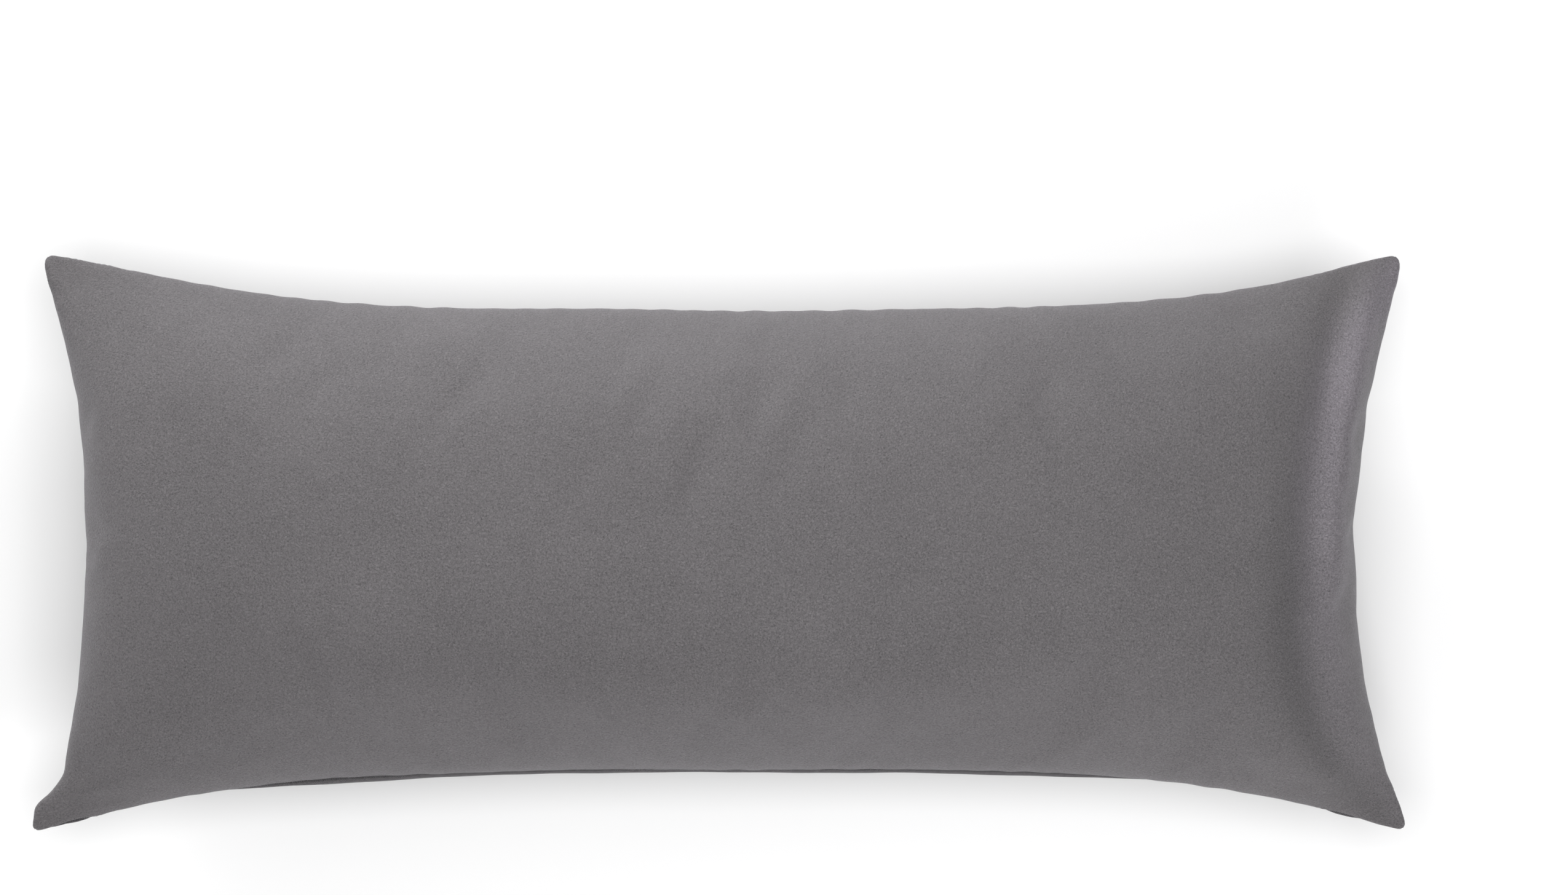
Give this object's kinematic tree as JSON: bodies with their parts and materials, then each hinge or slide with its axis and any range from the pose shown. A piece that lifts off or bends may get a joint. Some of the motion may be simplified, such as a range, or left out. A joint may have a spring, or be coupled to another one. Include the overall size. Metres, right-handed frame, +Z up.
{
  "type": "body pillow",
  "caption": "Long filled body pillow with a smooth plush face, a ribbed plush back and pointed ears, lying on its back.",
  "frame": {"origin": "under the middle of the pillow's bounding box, on the surface that it lies on", "axes": "+X along the pillow, +Y across it, +Z up out of its smooth face"},
  "size_m": [1.1702, 0.4914, 0.221],
  "materials": {
    "plush": "dark grey short-pile plush, smooth on the face and ribbed on the back"
  },
  "bodies": {
    "root": {"body_pillow": "plush"}
  },
  "joints": []
}
